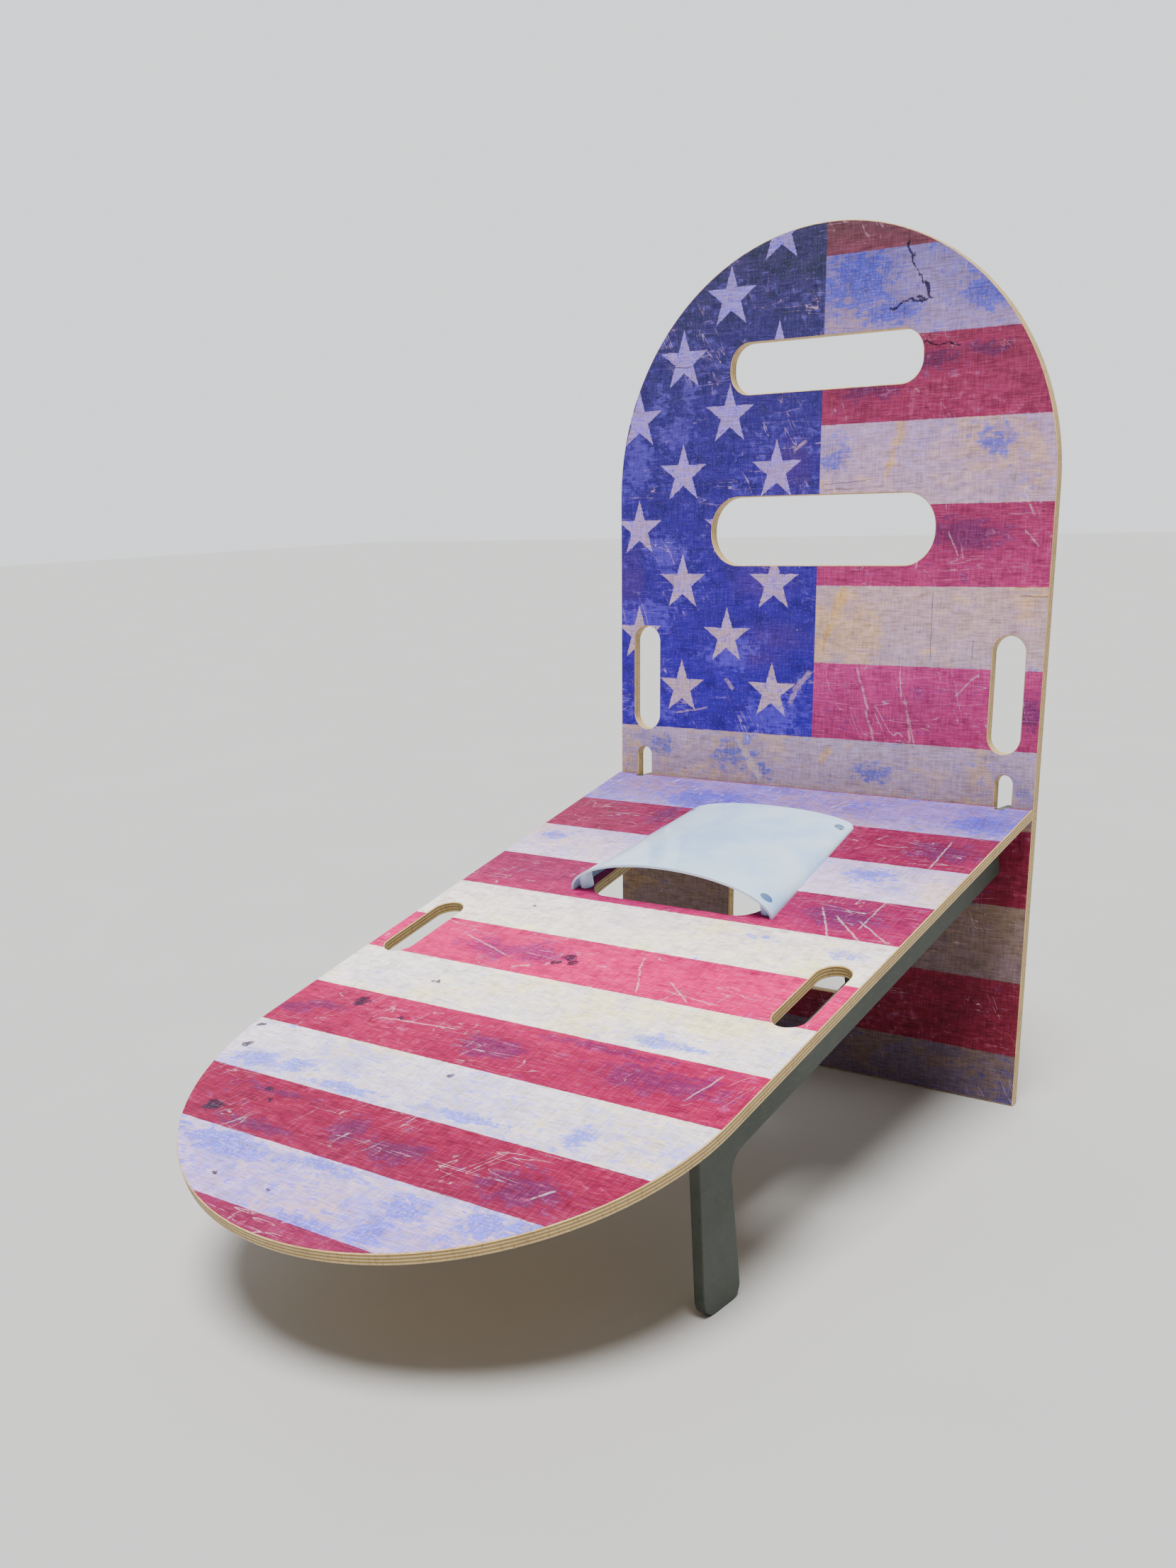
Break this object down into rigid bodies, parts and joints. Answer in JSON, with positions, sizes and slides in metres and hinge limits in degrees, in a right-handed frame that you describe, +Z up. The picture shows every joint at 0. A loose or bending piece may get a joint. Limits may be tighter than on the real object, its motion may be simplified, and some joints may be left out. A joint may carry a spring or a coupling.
{
  "type": "cornhole board",
  "caption": "Flag-printed bean bag toss: an upright back board with two target slots and a sloping playing board with a hooded hole, hooked together and held up by L-shaped side frames.",
  "frame": {"origin": "middle of the footprint of the bounding box, on the ground", "axes": "+X is the right as the thrower sees it, -Y points to the thrower (the playing board's round front), +Z is up"},
  "size_m": [0.61, 1.0227, 1.0524],
  "materials": {
    "back_print": "printed vinyl: a weathered stars and stripes flag on planks, satin",
    "play_print": "printed vinyl: weathered red and white stripes on planks, satin",
    "plywood": "bare plywood, sanded, pale tan with visible plies at the edges",
    "frame_paint": "plywood painted dark grey-green, matt",
    "hood_plastic": "moulded, glossy bluish white",
    "hinge_steel": "zinc-plated pressed steel",
    "fastener_steel": "zinc-plated"
  },
  "bodies": {
    "back": {"back_board": "plywood", "back_board_print": "back_print"},
    "board": {"playing_board": "plywood", "playing_board_print": "play_print", "hood": "hood_plastic", "hood_screws": "fastener_steel", "left_hook_plate": "frame_paint", "right_hook_plate": "frame_paint", "left_hook_angle": "hinge_steel", "right_hook_angle": "hinge_steel", "hook_angle_screws": "fastener_steel", "hook_bolts": "fastener_steel", "hook_nuts": "fastener_steel", "left_rear_board_leaf": "hinge_steel", "right_rear_board_leaf": "hinge_steel", "left_front_board_leaf": "hinge_steel", "right_front_board_leaf": "hinge_steel", "left_rear_hinge_pin": "fastener_steel", "right_rear_hinge_pin": "fastener_steel", "left_front_hinge_pin": "fastener_steel", "right_front_hinge_pin": "fastener_steel", "board_leaf_screws": "fastener_steel"},
    "left_frame": {"left_leg_frame": "frame_paint", "left_rear_frame_leaf": "hinge_steel", "left_front_frame_leaf": "hinge_steel", "left_frame_leaf_screws": "fastener_steel"},
    "right_frame": {"right_leg_frame": "frame_paint", "right_rear_frame_leaf": "hinge_steel", "right_front_frame_leaf": "hinge_steel", "right_frame_leaf_screws": "fastener_steel"}
  },
  "joints": [
    {"name": "board_lift", "type": "slide", "parent": "back", "child": "board", "axis": [0, 0.0436, 0.999], "range_m": [0, 0.034]},
    {"name": "left_leg_fold", "type": "hinge", "parent": "board", "child": "left_frame", "pos_m": [-0.2568, 0.09878, 0.2743], "axis": [0, -0.9724, -0.2334], "range_deg": [0, 90]},
    {"name": "right_leg_fold", "type": "hinge", "parent": "board", "child": "right_frame", "pos_m": [0.2568, 0.09878, 0.2743], "axis": [0, 0.9724, 0.2334], "range_deg": [0, 90]}
  ]
}
